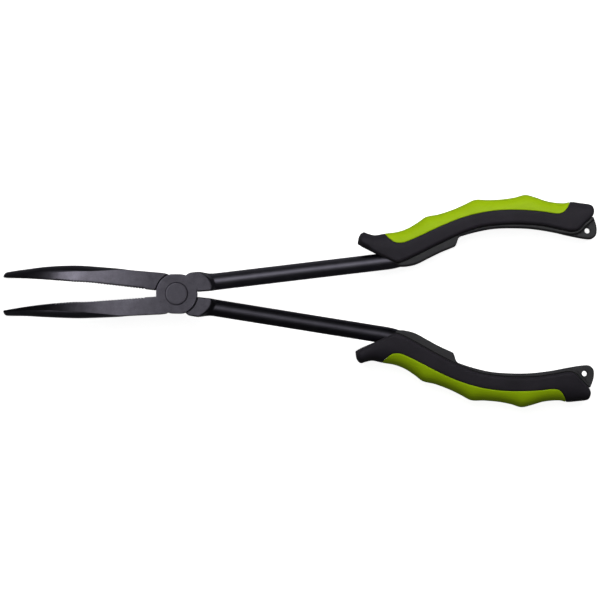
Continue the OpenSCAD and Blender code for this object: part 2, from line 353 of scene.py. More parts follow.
@dataclass(frozen=True)
class Finish:
    """A procedural finish: two colours that drift into each other, grain and a bump.

    Attributes:
        name: Common name of the material and how it was made.
        dark: Colour of the darker areas, sRGB.
        light: Colour of the lighter areas, sRGB.
        roughness: Lowest and highest roughness.
        patch_mm: Size of the colour's soft patches.
        grain_mm: Size of one grain of the surface.
        bump_mm: Height of the grain.
        metallic: 1 for oxide-blacked metal, 0 for plastic.
        grain: How the grain runs.
        sheen: Weight of a soft sheen.
        gloss: Specular level, 0.5 for a typical plastic.
        along: Brightness at places along X, in mm: painted highlight and painted shade along the
            jaw.
    """

    name: str
    dark: str
    light: str
    roughness: tuple[float, float]
    patch_mm: float
    grain_mm: float
    bump_mm: float
    metallic: float = 0.0
    grain: Grain = Grain.SPECKLED
    sheen: float = 0.0
    gloss: float = 0.5
    along: tuple[tuple[float, float], ...] = ()

    def fine(self, tree: bpy.types.NodeTree, place: bpy.types.NodeSocket) -> bpy.types.NodeSocket:
        """Draws the grain.

        Args:
            tree: Node tree that it goes into.
            place: Coordinates in metres.

        Returns:
            A socket with the grain's height, from 0 to 1.
        """
        size = self.grain_mm * MM
        if self.grain is Grain.TURNED:
            rings = add(
                tree, "TexWave", {"Vector": place, "Scale": WAVE_STEP / size, "Distortion": 0.6,
                                  "Detail": 2.0, "Detail Scale": 2.0},
                wave_type="RINGS", rings_direction="Z",
            )
            return rings.outputs["Fac"]
        along = DRAWN_STRETCH if self.grain is Grain.DRAWN else 1.0
        stretched = add(tree, "Mapping", {"Vector": place, "Scale": (1 / along, 1, 1)})
        noise = add(
            tree, "TexNoise", {"Vector": stretched.outputs["Vector"], "Scale": 1 / size,
                               "Detail": 3.0, "Roughness": 0.65},
        )
        return noise.outputs["Fac"]

    def paint_light_along(self, tree: bpy.types.NodeTree, place: bpy.types.NodeSocket,
             colour: bpy.types.NodeSocket) -> bpy.types.NodeSocket:
        """Paints highlight and shade into the colour along the jaw, scaled by place along X.

        Args:
            tree: Node tree that it goes into.
            place: Coordinates in metres.
            colour: The even colour.

        Returns:
            The colour as it varies along X.
        """
        first, last = self.along[0][0], self.along[-1][0]
        most = max(light for _, light in self.along)
        x = add(tree, "SeparateXYZ", {"Vector": place}).outputs["X"]
        at = add(tree, "MapRange", {"Value": x, "From Min": first * MM, "From Max": last * MM})
        ramp = add(tree, "ValToRGB", {"Fac": at.outputs["Result"]})
        stops = ramp.color_ramp.elements
        while len(stops) < len(self.along):
            stops.new(0.5)
        for stop, (mm, light) in zip(stops, self.along):
            stop.position = (mm - first) / (last - first)
            stop.color = (light / most,) * 3 + (1.0,)
        size = add(tree, "Math", {0: ramp.outputs["Color"], 1: most}, operation="MULTIPLY")
        return add(tree, "VectorMath", {0: colour, "Scale": size.outputs[0]},
                   operation="SCALE").outputs["Vector"]

    def make(self) -> bpy.types.Material:
        """Builds the material.

        Returns:
            A new material with its node tree.
        """
        material = bpy.data.materials.new(self.name)
        material.use_nodes = True
        tree = material.node_tree
        tree.nodes.clear()
        place = add(tree, "TexCoord").outputs["Object"]
        patches = add(
            tree, "TexNoise", {"Vector": place, "Scale": 1 / (self.patch_mm * MM),
                               "Detail": 4.0, "Roughness": 0.6},
        ).outputs["Fac"]
        fine = self.fine(tree, place)
        both = add(tree, "Math", {0: patches, 1: fine}, operation="ADD").outputs[0]
        drift = add(tree, "MapRange", {"Value": both, "From Min": 0.7, "From Max": 1.3})
        colour = add(
            tree, "Mix", {0: drift.outputs["Result"], 6: linear(self.dark), 7: linear(self.light)},
            data_type="RGBA",
        ).outputs[2]
        # Painted highlight and painted shade along X, where the finish has them.
        if self.along:
            colour = self.paint_light_along(tree, place, colour)
        rough = add(
            tree, "MapRange", {"Value": fine, "From Min": 0.3, "From Max": 0.7,
                               "To Min": self.roughness[0], "To Max": self.roughness[1]},
        )
        bump = add(tree, "Bump", {"Height": fine, "Distance": self.bump_mm * MM, "Strength": 1.0})
        shader = add(
            tree, "BsdfPrincipled",
            {"Base Color": colour, "Metallic": self.metallic,
             "Specular IOR Level": self.gloss,
             "Roughness": rough.outputs["Result"], "Normal": bump.outputs["Normal"],
             "Sheen Weight": self.sheen},
        )
        add(tree, "OutputMaterial", {"Surface": shader.outputs["BSDF"]})
        return material


# Forged steel blacked by hot oxide and ground flat on the joint's faces: a dull violet grey
# with the fine speckle that the grinding wheel leaves. Each jaw's copy adds a painted highlight
# behind the nose's bend and painted shade on the nose.
# Real grit is near 0.1 mm and is drawn coarser so that it shows.
GROUND_STEEL = Finish(
    "ground_black_oxide_steel", "#77747f", "#918e9b", (0.34, 0.46), 3.0, 0.5, 0.012, 1.0,
)
# Brightness of each jaw's flat along X, painted into its colour: painted shade on the nose, a
# painted highlight behind the bend, set apart for each jaw.
FRONT_PAINTED_LIGHT = ((-80, 0.6), (-62, 0.15), (-54, 0.2), (-48, 0.42), (-41, 1.05), (-34, 1.5),
              (-25, 1.7), (-13, 1.25), (-5, 1.0))
REAR_PAINTED_LIGHT = ((-80, 0.8), (-66, 0.55), (-60, 0.8), (-54, 2.2), (-48, 2.5), (-39, 2.35),
             (-25, 1.65), (-13, 1.0), (-5, 1.0))
# The same oxide on the rounded forged skin, oiled: glossier, with long soft lights. Both
# levers come from the same hammer; the rear lever's copy is darker as painted shade.
FRONT_FORGED = Finish(
    "forged_black_oxide_steel", "#9290a0", "#a9a7b4", (0.29, 0.38), 7.0, 0.35, 0.006, 1.0,
    Grain.DRAWN,
)
SHADED_REAR_FORGED = replace(FRONT_FORGED, name="forged_oxide_steel_painted_shade", dark="#6c6a75",
                      light="#807e8a")
# The rivet's heads are turned: the same grey with fine rings that catch the light.
TURNED_STEEL = Finish(
    "turned_black_oxide_steel", "#77747f", "#8e8b98", (0.32, 0.42), 2.5, 0.5, 0.008, 1.0,
    Grain.TURNED,
)
# Glass-filled nylon, moulded: a hard semi-gloss black whose edges catch a pale line.
BLACK_NYLON = Finish(
    "moulded_black_nylon", "#29292b", "#343436", (0.34, 0.44), 5.0, 0.4, 0.01,
)
# Thermoplastic rubber from a sand-blasted mould: matt soft black with a faint violet cast.
BLACK_RUBBER = Finish(
    "moulded_black_rubber", "#1f1d22", "#27242b", (0.5, 0.62), 8.0, 0.5, 0.02, sheen=0.05,
    gloss=0.35,
)
# The same rubber in lime: matt, strong yellow green.
LIME_RUBBER = Finish(
    "moulded_lime_rubber", "#94b304", "#9cbd06", (0.5, 0.62), 8.0, 0.5, 0.02, gloss=0.22,
)


# ---------------- steel


@dataclass(frozen=True)
class Joint:
    """Sizes that the two levers and the rivet share, in millimetres."""

    boss_r: float = 9.7
    flat_y: float = 9.25
    shoulder_gap: float = 0.4
    lap_gap: float = 0.1
    shank_r: float = 4.0
    head_r: float = 5.2
    head_t: float = 2.0
    edge: float = 0.28
    groove: float = 0.2
    lap_edge: float = 0.1
    shank_room: float = 0.03
    head_room: float = 0.06
    rim_points: int = 180
    keen: float = 6.0
    offset: float = 50.0

    @property
    def lap_low(self) -> float:
        """Height of the lower disc's lapped face."""
        return MID_Z - self.lap_gap / 2

    @property
    def lap_high(self) -> float:
        """Height of the upper disc's lapped face."""
        return MID_Z + self.lap_gap / 2

    def disc(self, side: Side) -> bpy.types.Object:
        """Makes a lap disc with rounded rims and its two ground flats.

        The radius is a soft minimum of the rim and the flats: keen sets how sharply they meet,
        and offset keeps its powers in range.

        Args:
            side: Half that the disc belongs to; the upper half's disc lies on top.

        Returns:
            The disc.
        """
        e, lap, keen, offset = self.edge, self.lap_edge, self.keen, self.offset
        if side is Side.UPPER:
            levels = [(-lap, self.lap_high), (0, self.lap_high + lap), (0, JOINT_T - e),
                      (-0.3 * e, JOINT_T - 0.3 * e), (-e, JOINT_T)]
        else:
            levels = [(-e, 0), (-0.3 * e, 0.3 * e), (0, e), (0, self.lap_low - lap),
                      (-lap, self.lap_low)]
        a = np.linspace(0, 2 * math.pi, self.rim_points, endpoint=False)
        across = np.maximum(np.abs(np.sin(a + math.radians(REST_ANGLE))), 0.01)
        r = -np.log(np.exp(-keen * self.boss_r * np.ones_like(a) + offset)
                    + np.exp(-keen * self.flat_y / across + offset)) / keen + offset / keen
        rings = [np.stack([(r + d) * np.cos(a), (r + d) * np.sin(a), np.full(len(a), z)], 1)
                 for d, z in levels]
        return solid("lap_disc", at_rest(np.array(rings), side))

    def room(self, side: Side) -> bpy.types.Object:
        """Makes the room that a lever leaves for the other lever's disc, its rim flared."""
        r, e = self.boss_r + self.shoulder_gap, self.edge
        if side is Side.UPPER:
            return turned("room", [(r + 1 + e, -1), (r + e, 0), (r, e), (r, self.lap_high)])
        return turned("room", [(r, self.lap_low), (r, JOINT_T - e), (r + e, JOINT_T),
                               (r + 1 + e, JOINT_T + 1)])

    def hole(self, side: Side) -> bpy.types.Object:
        """Makes the counterbored rivet hole of a lever, with a flared rim."""
        g = self.groove
        shank, head = self.shank_r + self.shank_room, self.head_r + self.head_room
        outline = [(shank, -1), (shank, JOINT_T - self.head_t), (head, JOINT_T - self.head_t),
                   (head, JOINT_T - g), (head + g, JOINT_T), (head + g + 1, JOINT_T + 1)]
        if side is Side.LOWER:
            outline = [(r, JOINT_T - z) for r, z in reversed(outline)]
        return turned("hole", outline)


@dataclass
class Lever:
    """One forged lever: bent toothed jaw, lap disc, flat neck, round rod and tang.

    Attributes:
        side: Half that it belongs to.
        joint: Sizes of the joint.
        straight: Length of the straight jaw; heel is where its underside starts to rise.
        bend_r: Bend radius of the nose's middle line, through bend_degrees, then run straight.
        nose_lean: How far both noses lean to the same side, per mm that they drop.
        nose_h: Height of the nose at the bend, and tip_h at its tip.
        step_in: How far jaw and neck lie under the disc's faces, so that no faces coincide.
        tooth_ends: Where the teeth start and end.
        tip_r: Rounding of the tip.
        grip_line: How far the grip face stands back.
        width: Width of the jaw, and shoulder: width of its rounded outer side.
        neck_in: Inner side of the neck, and neck_out: its outer side.
        neck_lean: How far the neck's shoulder leans back.
        rod_v: Distance from the pivot to the rod's middle line, and rod_end: its length.
        seam_depth: Depth of the forging seam.
        elbow_r: Radius of the rod's bend, then the tang: tang_r, tang_run, arch_r, tail.
    """

    side: Side
    joint: Joint
    straight: float = 46.0
    bend_r: float = 46.0
    bend_degrees: float = 40.0
    run: float = 8.65
    heel: float = 18.0
    nose_lean: float = 0.078
    nose_h: float = 8.4
    tip_h: float = 3.6
    step_in: float = 0.01
    edge_r: float = 0.32
    tooth_pitch: float = 1.4
    tooth_depth: float = 0.4
    tooth_ends: tuple[float, float] = (15.0, 57.0)
    tip_r: float = 1.0
    tip_bevel: float = 0.6
    grip_line: Curve = Curve(((-84, 0), (-49, 0.12), (-42, 0.5), (-34, 0.55), (-12, 0.6)))
    width: Curve = Curve(((-84.5, 2.1), (-80, 3.0), (-76, 3.72), (-72, 4.36), (-66, 5.5),
                          (-60, 6.48), (-54, 7.3), (-48, 7.98), (-44, 8.25), (-34, 8.64),
                          (-28, 8.8), (-23, 8.74), (-12, 9.02), (-6.6, 9.05), (-4.5, 8.3),
                          (-2.5, 4.5)))
    shoulder: Curve = Curve(((-84, 3.6), (-60, 3.3), (-52, 3.05), (-46, 2.8), (-41, 2.4),
                             (-35.6, 1.75), (-30, 0.95), (-25, 0.4), (-20, 0.3), (0, 0.3)))
    neck_in: Curve = Curve(((3, 0.6), (5, 0.6), (9, 0.4), (13, 0.34), (17, 0.36), (30, 0.95)))
    neck_out: Curve = Curve(((3, 6.2), (4.2, 7.6), (5.1, 8.4), (6.4, 9.25), (8, 9.5), (11, 9.6),
                             (13.4, 9.2), (15.4, 8.68), (17.5, 8.41), (20, 8.5), (30, 8.95)))
    neck_lean: float = 5.1
    rod_v: float = 3.6
    rod_end: float = 100.31
    seam_depth: float = 0.45
    elbow_r: float = 30.0
    elbow_degrees: float = 20.0
    tang_r: float = 2.5
    tang_run: float = 24.5
    arch_r: float = 44.0
    arch_degrees: float = -28.0
    tail: float = 14.0
    tang_step: float = 1.5
    bend_from: float = -40.0
    corner_points: int = 18
    seam_at: int = 10

    def spine(self, s: float) -> tuple[float, float, float, float]:
        """Follows the jaw's middle line.

        Args:
            s: Distance along the line from the pivot.

        Returns:
            X, Z, the angle bent down so far in radians, and half the jaw's height.
        """
        past = s - self.straight
        if past <= 0:
            part = np.clip((s - self.heel) / (self.straight - self.heel), 0, 1)
            lift = (JOINT_T - self.nose_h) * part
            return -s, (JOINT_T + lift) / 2, 0.0, (JOINT_T - lift) / 2
        total = math.radians(self.bend_degrees) * self.bend_r + self.run
        a = min(past / self.bend_r, math.radians(self.bend_degrees))
        on = past - a * self.bend_r
        x = -self.straight - self.bend_r * math.sin(a) - on * math.cos(a)
        z = JOINT_T - self.nose_h / 2 - self.bend_r * (1 - math.cos(a)) - on * math.sin(a)
        return x, z, a, (self.nose_h + (self.tip_h - self.nose_h) * past / total) / 2

    def jaw_ring(self, s: float, end: float) -> np.ndarray:
        """Draws the jaw's D-shaped section: flat grip face, flat top and bottom, round outside.

        Args:
            s: Distance along the jaw's middle line.
            end: Length of that line.

        Returns:
            Points of the section.
        """
        x, z, a, half = self.spine(s)
        left = (end - s) / self.tip_r
        tip = self.tip_r * (1 - float(rounded(left, 1.0)))
        half -= self.step_in + self.tip_bevel * (1 - float(rounded(left, self.tip_bevel)))
        top_w, low_w = (max(float(self.width.at(x - k * half * math.sin(a))) - tip, 1.0)
                        for k in (1, -1))
        e = min(self.edge_r, 0.25 * top_w)
        band = min(float(self.shoulder.at(x)), 0.97 * half, 0.75 * (min(top_w, low_w) - e - 0.1))
        r = (band * band + half * half) / (2 * band)
        sweep = math.asin(min(half / r, 1))
        phase = (s - self.tooth_ends[0]) / self.tooth_pitch
        tooth = self.tooth_depth * (1 - abs(2 * (phase % 1) - 1))
        tooth *= self.tooth_ends[0] < s < self.tooth_ends[1]
        grip = -float(self.grip_line.at(x)) - tooth
        flat = np.array([0, 0.12, 0.4, 0.7, 0.93, 1])
        arc = np.linspace(sweep, -sweep, 19)[1:-1]
        y = [grip, grip - 0.3 * e, *(grip - e + flat * (band - top_w - grip + e))]
        y += [*(r - r * np.cos(arc) - top_w + (top_w - low_w) * (1 - np.sin(arc) * r / half) / 2)]
        y += [*(grip - e + flat[::-1] * (band - low_w - grip + e)), grip - 0.3 * e] + [grip] * 4
        n = [half - e, half - 0.3 * e] + [half] * 6 + [*(r * np.sin(arc))] + [-half] * 6
        n += [-half + 0.3 * e, -half + e, -half * 0.45, 0, half * 0.45]
        drop = JOINT_T - self.nose_h / 2 - z if s > self.straight else 0.0
        lean = self.nose_lean * drop * (1 if self.side is Side.UPPER else -1)
        y, n = np.array(y) - lean, np.array(n)
        return np.stack([x - n * math.sin(a), y, z + n * math.cos(a)], 1)

    def jaw(self) -> bpy.types.Object:
        """Lofts the jaw from beside the pivot to its rounded tip."""
        end = self.straight + math.radians(self.bend_degrees) * self.bend_r + self.run
        step = self.tooth_pitch / 4
        places = np.concatenate([
            np.arange(2.5, self.tooth_ends[0], 0.5),
            np.arange(self.tooth_ends[0], end - self.tip_r, step),
            end - self.tip_r * np.cos(np.linspace(0.15, 1, 12) * math.pi / 2),
        ])
        return solid("jaw", at_rest(np.array([self.jaw_ring(s, end) for s in places]), self.side))

    def path(self, s: float) -> tuple[np.ndarray, np.ndarray, float]:
        """Follows the rod's and tang's middle line, in the rod's frame.

        Args:
            s: Distance along the line.

        Returns:
            The point, the direction to the outside, and the radius there.
        """
        here, heading, left = np.array([0.0, self.rod_v]), 0.0, s
        steps = [(self.rod_end, 0.0, 0.0), (0.0, self.elbow_r, self.elbow_degrees),
                 (self.tang_run, 0.0, 0.0), (0.0, self.arch_r, self.arch_degrees),
                 (self.tail, 0.0, 0.0)]
        for run, radius, degrees in steps:
            sweep = math.radians(degrees)
            length = run or radius * abs(sweep)
            part = min(left, length)
            ahead = np.array([math.cos(heading), math.sin(heading)])
            side = np.array([-ahead[1], ahead[0]])
            if run:
                here = here + ahead * part
            else:
                hand = math.copysign(1, sweep)
                t = part / radius
                here = here + radius * (ahead * math.sin(t) + hand * side * (1 - math.cos(t)))
                heading += hand * t
            left -= part
        elbow = self.rod_end + self.elbow_r * math.radians(self.elbow_degrees)
        r = ROD_R + (self.tang_r - ROD_R) * float(smooth(elbow, elbow + self.tang_step, s))
        return here, np.array([-math.sin(heading), math.cos(heading)]), r

    def rounded_box(self) -> list[tuple[float, float, float, float]]:
        """Lists the directions of a rounded box's outline, close together at the seam.

        Returns:
            For each point: its side in y and z, and the cosine and sine at its corner.
        """
        turns = [(-1, 1, 180), (1, 1, 90), (1, -1, 0), (-1, -1, -90)]
        n, step = self.corner_points, 90 / self.corner_points
        angles = [start - step / 2 - step * k for _, _, start in turns for k in range(n)]
        for i, a in enumerate((131.2, 129.2, 127.2), self.seam_at - 1):
            angles[i], angles[-1 - i] = a, -a
        return [(*turns[i // n][:2], math.cos(math.radians(a)), math.sin(math.radians(a)))
                for i, a in enumerate(angles)]

    def section(self, low: float, high: float, half: float, rc: float, seam: float) -> np.ndarray:
        """Draws a rounded box that turns into a circle when its corners are full.

        Args:
            low: Inner side, in y.
            high: Outer side, in y.
            half: Half height.
            rc: Corner radius.
            seam: How much of the forging seam shows.

        Returns:
            Points in y and z, five of them spaced along the top and along the bottom.
        """
        mid, a = (low + high) / 2, (high - low) / 2
        points, n = [], self.corner_points
        cut = self.seam_at if self.side is Side.LOWER else 4 * n - 1 - self.seam_at
        for i, (sy, sz, c, s) in enumerate(self.rounded_box()):
            r = rc - self.seam_depth * seam * (i == cut)
            points.append((mid + sy * (a - rc) + r * c, sz * (half - rc) + r * s))
        top, bottom = ([self.between(points[i - 1], points[i], k / 6) for k in range(1, 6)]
                       for i in (n, 3 * n))
        return np.array(points[:n] + top + points[n : 3 * n] + bottom + points[3 * n :])

    @staticmethod
    def between(a: tuple[float, float], b: tuple[float, float], t: float) -> tuple[float, float]:
        """A point part of the way from a to b."""
        return a[0] + (b[0] - a[0]) * t, a[1] + (b[1] - a[1]) * t

    def neck_ring(self, s: float) -> np.ndarray:
        """Draws one section of the neck, leaning back toward the outside.

        Args:
            s: Place of the section's inner end, in x.

        Returns:
            Points of the section.
        """
        half = JOINT_T / 2 - (JOINT_T / 2 - ROD_R) * float(smooth(16.3, 19.2, s)) - self.step_in
        rc = 0.5 + (ROD_R - 0.5) * float(smooth(15.8, 19.4, s))
        flat = self.section(float(self.neck_in.at(s)), float(self.neck_out.at(s)), half,
                            min(rc, half), float(smooth(17, 22, s)))
        low, high = self.neck_in.at(s), self.neck_out.at(s)
        q = np.clip((flat[:, 0] - low) / (high - low), 0, 1)
        lean = np.clip((s - 3) / 11, 0, 1) * (1 - smooth(20, 27, s))
        x = s - self.neck_lean * q**3 * lean
        low, high = self.neck_in.at(x), self.neck_out.at(x)
        return np.stack([x, low + q * (high - low), MID_Z + flat[:, 1]], 1)

    def rod(self) -> bpy.types.Object:
        """Lofts the neck, the rod and the tang in one sweep."""
        rings = [self.neck_ring(s) for s in np.concatenate(
            [np.arange(3.4, 15.5, 0.6), np.arange(15.6, 20, 0.25), np.arange(20, 28, 1)])]
        end = self.rod_end + self.tang_run + self.tail + math.radians(1) * (
            self.elbow_r * self.elbow_degrees + self.arch_r * abs(self.arch_degrees))
        places = np.concatenate([np.arange(30, self.rod_end, 2.0),
                                 np.arange(self.rod_end, self.rod_end + 12.5, 0.5),
                                 np.arange(self.rod_end + 13, end, 1.5)])
        for s in places:
            here, out, r = self.path(float(s))
            seam = 1 - float(smooth(108, 111, s))
            flat = self.section(-r, r, r, r, seam)
            xy = here + out * flat[:, :1]
            ring = np.concatenate([xy, MID_Z + flat[:, 1:]], 1)
            rings.append(turn(ring, ROD_ANGLE))
        return solid("rod", at_rest(np.array(rings), self.side))

    def build(self) -> bpy.types.Object:
        """Joins jaw, neck and disc, and cuts the rivet hole.

        Returns:
            The lever as one closed solid.
        """
        piece, rod = self.jaw(), self.rod()
        combine(piece, self.joint.room(self.side), Solid.CUT)
        combine(rod, self.joint.room(self.side), Solid.CUT)
        combine(piece, rod, Solid.JOIN)
        combine(piece, self.joint.disc(self.side), Solid.JOIN)
        combine(piece, self.joint.hole(self.side), Solid.CUT)
        piece.name = self.side.lever + "_steel"
        return piece

    def dress(self, piece: bpy.types.Object, flats: bpy.types.Material,
              forged: bpy.types.Material) -> None:
        """Gives the ground faces one finish and the forged skin the other.

        Args:
            piece: The lever.
            flats: Finish of the two ground faces, which runs on round the nose's bend.
            forged: Finish of everything else.
        """
        piece.data.materials.clear()
        piece.data.materials.append(flats)
        piece.data.materials.append(forged)
        for face in piece.data.polygons:
            level = abs(face.center.z / MM - MID_Z) > MID_Z - 0.05 and abs(face.normal.z) > 0.99
            bent = face.center.x < self.bend_from * MM and abs(face.normal.y) < 0.1
            bent = bent and face.normal.z > 0.5
            face.material_index = 0 if level or bent else 1
        shade(piece)
        hand_over(piece, self.side.body, self.side.lever)


@dataclass
class Rivet:
    """The pivot rivet, with two flush turned heads."""

    joint: Joint

    def build(self) -> bpy.types.Object:
        """Turns the rivet.

        Returns:
            The rivet as one closed solid.
        """
        j = self.joint
        t, g, flush = j.head_t, j.groove, 0.02
        head = [(j.head_r - g - 0.6, flush), (j.head_r - g, flush), (j.head_r - 0.3 * g, 0.3 * g),
                (j.head_r, g), (j.head_r, t), (j.shank_r, t)]
        outline = head + [(r, JOINT_T - z) for r, z in reversed(head)]
        return turned("pivot_rivet_steel", outline)

    def dress(self, piece: bpy.types.Object, finish: bpy.types.Material) -> None:
        """Gives the rivet its turned finish."""
        piece.data.materials.append(finish)
        shade(piece)
        hand_over(piece, "front_half", "pivot_rivet")


# ---------------- handles


def in_rod_frame(points: np.ndarray, side: Side) -> np.ndarray:
    """Moves points drawn along a rod to the open tool.

    Args:
        points: U along the rod, V outward and Z from the middle plane, in millimetres.
        side: Half that they belong to.

    Returns:
        The moved points.
    """
    return at_rest(turn(points, ROD_ANGLE) + np.array([0, 0, MID_Z]), side)


@dataclass
class Handle:
    """One three-part handle: hard core, soft black shell and lime insert.

    Attributes:
        side: Half that it belongs to.
        half_t: Half thickness of the grip at its fullest.
        outer: Outline of the grip on the finger side.
        low: Lower lip of the black shell.
        split: Line between black and lime.
        inner: Outline of the core on the palm side.
        web: Top of the core's hidden web.
        lug: Top of the lanyard lug.
        fullness: Part of the full thickness along the grip.
        web_t: Half thickness of the web.
        gap: Room between the layers.
        thin: Least half thickness, at the outer edge.
    """

    side: Side
    half_t: float = 6.49
    rim_t: float = 4.8
    lug_t: float = 3.5
    outer: Curve = Curve(((87.6, 13.9), (88.6, 16.8), (90.8, 18.5), (93, 17.6), (96, 16.5),
                          (101, 16.7), (107, 16.8), (112, 17.9), (117, 20.1), (121, 22.2),
                          (127, 22.7), (134, 24.1), (140, 25.9), (145, 27.5), (151, 26.7),
                          (158, 26.2), (164, 26.4), (169, 26.98), (173, 25.5), (179, 22.7),
                          (186, 21), (190, 21.1), (195, 19.9), (199, 18.7), (200, 17.7),
                          (200.3, 16.5)))
    low: Curve = Curve(((87.6, 13.2), (90, 11.3), (95.4, 7.9), (100, 4.9), (104.2, 2.3),
                        (106.2, 2.1), (114, 4.5), (121.4, 7.2), (129, 9.8), (136.3, 12.1),
                        (146, 14.1), (156, 14.2), (165, 13.3), (174.5, 11.5), (183.8, 8.5),
                        (188, 7.1), (191.5, 7.3), (195, 10), (199, 13), (200.3, 15.1)))
    split: Curve = Curve(((100.2, 18), (101.2, 15.9), (102.6, 14), (105, 11.9),
                          (108.5, 11.2), (112, 11.9), (118, 13.7), (128, 17), (138, 19.6),
                          (148, 20.9), (157, 20.9), (167, 19.7), (176, 17.9), (182, 16.3),
                          (185.3, 16.4), (187.6, 18.3), (189.2, 20.7), (189.8, 22)))
    inner: Curve = Curve(((104.8, 1.1), (106.2, 0.3), (109.2, 0), (114, 0.5), (120, 2.6),
                          (126, 4.7), (132, 6.4), (133.4, 7.1), (135.2, 10.4), (138, 11.4),
                          (145, 12.4), (152, 12.8), (160, 12.2), (170, 10.6), (180, 7.8),
                          (188, 4.9), (194, 3), (197, 2.5), (198.8, 3.2), (199.9, 4.6),
                          (200.3, 6.5)))
    web: Curve = Curve(((104.8, 9.2), (113, 11), (118, 11.4), (125, 13.9), (131, 16),
                        (136, 17.7), (144, 19.5), (150, 20.1), (156, 19.7), (170, 17.4),
                        (180, 14.5), (188, 13), (195, 14), (198, 14.5)))
    lug: Curve = Curve(((198, 12.2), (199.2, 12.7), (199.8, 11.1), (200.3, 8.5)))
    fullness: Curve = Curve(((87.6, 0.66), (90, 0.82), (96, 0.94), (106, 1), (175, 1),
                             (192, 0.95), (200.3, 0.8)))
    web_t: Curve = Curve(((104.8, 4.2), (113, 4.2), (117, 3.4), (200.3, 2.8)))
    ends: tuple[float, float] = (87.6, 200.3)
    core_start: float = 104.8
    web_end: float = 198.0
    hole_at: tuple[float, float] = (195.8, 6.6)
    hole_r: float = 1.3
    gap: float = 0.03
    seam_r: float = 0.5
    seam_depth: float = 0.45
    thin: float = 0.04
    crease: float = 40.0
    insert_ends: tuple[float, float] = (100.95, 189.05)
    hole_flare: float = 0.3
    grip_points: int = 26
    core_points: int = 18

    @staticmethod
    def spread(count: int) -> np.ndarray:
        """Parts from 0 to 1 that crowd together at both ends."""
        return (1 - np.cos(np.linspace(0, math.pi, count))) / 2

    def stations(self, start: float, end: float) -> np.ndarray:
        """Places of the sections, close together at the ends and the sharp turns.

        Args:
            start: First place.
            end: Last place.

        Returns:
            Places in rising order.
        """
        fine = [(self.ends[0], 90, 0.15), (90, 96, 0.4), (96, 99.8, 0.6), (99.8, 104, 0.2),
                (104, 110, 0.35), (110, 131, 0.6), (131, 137, 0.2), (137, 181, 0.7),
                (181, 191, 0.25), (191, 198, 0.35), (198, self.ends[1], 0.1)]
        u = np.concatenate([np.arange(a, b, step) for a, b, step in fine])
        u = u[(u > start + 0.05) & (u < end - 0.05)]
        return np.concatenate([[start], u, [end]])

    def grip_z(self, u: float, v: np.ndarray) -> np.ndarray:
        """Half thickness of the whole grip, crowned toward its outer edge.

        Args:
            u: Place along the rod.
            v: Distances outward.

        Returns:
            One half thickness for each distance.
        """
        low, out = float(self.low.at(u)), float(self.outer.at(u))
        crown = low + 0.3 * (out - low)
        t = np.clip((v - crown) / (out - crown), 0, 1)
        dome = (1 - t**2.4) ** (1 / 2.2)
        guard = float(smooth(91.5, 95, u))
        least, depth = 0.15 + 0.55 * guard, 3.0 - 1.4 * guard
        lip = least + (1 - least) * rounded(v - low, depth)
        front = rounded(u - self.ends[0] + 0.15, 2.4)
        rear = rounded(self.ends[1] - u + 0.1, 1.3)
        return self.half_t * float(self.fullness.at(u)) * dome * lip * front * rear

    def seam(self, u: float, v: np.ndarray) -> np.ndarray:
        """Depth of the rounded groove between black and lime."""
        if u < self.split.knots[0][0] - 1 or u > self.split.knots[-1][0] + 1:
            return np.zeros_like(v)
        away = self.split.distance(np.full_like(v, u), v)
        return self.seam_depth * (1 - rounded(away, self.seam_r))

    def shell_ring(self, u: float) -> np.ndarray:
        """Draws one section of the black shell, with its pocket for the core's web."""
        low, out = float(self.low.at(u)), float(self.outer.at(u))
        if self.split.knots[0][0] < u < self.split.knots[-1][0]:
            out = min(out, float(self.split.at(u)))
        v = low + (out - low) * self.spread(self.grip_points)
        z = np.maximum(self.grip_z(u, v) - self.seam(u, v), self.thin)
        pocket = self.core_start <= u <= self.web_end
        top = float(self.web.at(u)) + self.gap if pocket else low + 0.05
        w = float(self.web_t.at(u)) + self.gap if pocket else z[0] / 2
        inside = [(low, -w), (top, -w), (top, w), (low, w)]
        points = list(zip(v[::-1], -z[::-1])) + inside + list(zip(v, z))
        return np.array([(u, a, b) for a, b in points])

    def insert_ring(self, u: float) -> np.ndarray:
        """Draws one section of the lime insert."""
        low, out = float(self.split.at(u)) + self.gap, float(self.outer.at(u))
        v = low + (out - low) * self.spread(self.grip_points)
        z = np.maximum(self.grip_z(u, v) - self.seam(u, v), self.thin)
        points = list(zip(v[::-1], -z[::-1])) + list(zip(v, z))
        return np.array([(u, a, b) for a, b in points])

    def core_z(self, u: float, v: np.ndarray, low: float) -> np.ndarray:
        """Half thickness of the core's rim, keel and lug, with a channel along the shell."""
        away = self.low.distance(np.full_like(v, u), v)
        raised = 1 - smooth(0.9, 1.6, away) * float(smooth(184, 188, u))
        full = self.lug_t + (self.rim_t - self.lug_t) * raised
        edge = 0.72 + 0.28 * rounded(v - low, 0.9)
        channel = 0.8 * (1 - rounded(away, 0.45))
        rear = 0.8 + 0.2 * rounded(self.ends[1] - u + 0.05, 0.8)
        return full * edge * rear - channel

    def core_ring(self, u: float) -> np.ndarray:
        """Draws one section of the core: rim outside the shell, web inside it."""
        low = float(self.inner.at(u))
        top = float(self.low.at(u)) - self.gap
        if u > self.web_end:
            top = min(top, float(self.lug.at(u)))
        v = low + (top - low) * self.spread(self.core_points)
        z = self.core_z(u, v, low)
        w = min(float(self.web_t.at(u)), z[-1] - 0.05)
        web = float(self.web.at(u)) if u <= self.web_end else top + 0.02
        inside = [(top, w), (web, w), (web, -w), (top, -w)]
        points = list(zip(v, z)) + inside + list(zip(v[::-1], -z[::-1]))
        return np.array([(u, a, b) for a, b in points])

